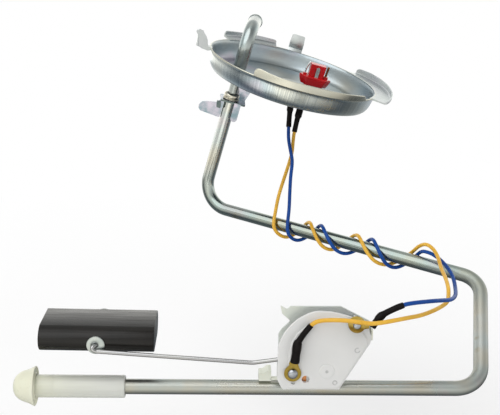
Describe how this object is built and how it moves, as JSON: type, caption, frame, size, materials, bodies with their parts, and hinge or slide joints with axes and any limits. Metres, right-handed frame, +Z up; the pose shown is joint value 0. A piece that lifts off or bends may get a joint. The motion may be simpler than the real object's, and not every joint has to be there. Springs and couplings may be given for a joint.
{
  "type": "fuel level sender",
  "caption": "Tank flange cup with outlet, bent pickup tube, strainer end and a float-arm level sender wired to the flange's terminal block.",
  "frame": {"origin": "centre of the flange's rim plane, inside the cup, where the flange is held in the tank's opening", "axes": "+X right along the pickup tube's lower run, +Y away from the sender's front cover and along the arm's pivot, +Z up; the flange is tilted about both level axes as pictured"},
  "size_m": [0.3069, 0.2745, 0.2296],
  "materials": {
    "zinc_steel": "zinc plated, satin",
    "tube_steel": "zinc plated, drawn, bright",
    "ferrule_steel": "zinc plated",
    "bracket_zinc": "zinc plated with a cool tint",
    "red_moulding": "moulded, glossy",
    "terminal_zinc": "plated",
    "terminal_copper": "bare, dull",
    "blue_insulation": "insulation, smooth",
    "yellow_insulation": "insulation, smooth",
    "shrink_sleeve": "shrunk on, semi-matt",
    "white_nylon": "moulded, fine grain",
    "rear_nylon": "moulded, fine grain",
    "card_board": "pressed board",
    "resistance_wire": "wound wire",
    "arm_zinc": "zinc plated wire, bright",
    "hub_nylon": "moulded",
    "pin_steel": "turned",
    "contact_brass": "sprung strip",
    "bracket_plate_zinc": "zinc plated, satin",
    "strip_copper": "copper strip",
    "ring_brass": "stamped, dull",
    "rivet_steel": "domed, bright",
    "float_foam": "closed-cell moulding, semi-matt",
    "washer_zinc": "stamped",
    "cream_nylon": "moulded, satin",
    "head_nylon": "moulded, satin",
    "clip_nylon": "moulded"
  },
  "bodies": {
    "frame": {"flange": "zinc_steel", "outlet_tube": "tube_steel", "tube_collar": "ferrule_steel", "pickup_tube": "tube_steel", "tube_bracket": "bracket_zinc", "connector_body": "red_moulding", "terminal_middle": "terminal_zinc", "terminal_left": "terminal_zinc", "terminal_right": "terminal_copper", "blue_lead": "blue_insulation", "yellow_lead": "yellow_insulation", "blue_sleeve_top": "shrink_sleeve", "yellow_sleeve_top": "shrink_sleeve", "blue_sleeve_end": "shrink_sleeve", "yellow_sleeve_end": "shrink_sleeve", "sender_housing": "white_nylon", "rear_cover": "rear_nylon", "resistor_card": "card_board", "resistance_winding": "resistance_wire", "pivot_pin": "pin_steel", "sender_bracket": "bracket_plate_zinc", "contact_strip": "strip_copper", "ring_terminal_left": "ring_brass", "ring_terminal_right": "ring_brass", "rivet_left": "rivet_steel", "rivet_right": "rivet_steel", "pickup_sleeve": "cream_nylon", "pickup_head": "head_nylon", "run_clip": "clip_nylon"},
    "arm": {"arm_wire": "arm_zinc", "arm_hub": "hub_nylon", "wiper_contact": "contact_brass", "float_washer_front": "washer_zinc", "float_washer_back": "washer_zinc"},
    "float_body": {"float": "float_foam"}
  },
  "joints": [
    {"name": "arm_pivot", "type": "hinge", "parent": "frame", "child": "arm", "pos_m": [0.0095, -0.19, -0.1624], "axis": [0, 1, 0], "range_deg": [0, 60]},
    {"name": "float_swivel", "type": "hinge", "parent": "arm", "child": "float_body", "pos_m": [-0.1294, -0.165, -0.1486], "axis": [0, 1, 0], "range_deg": [-25, 25]}
  ]
}
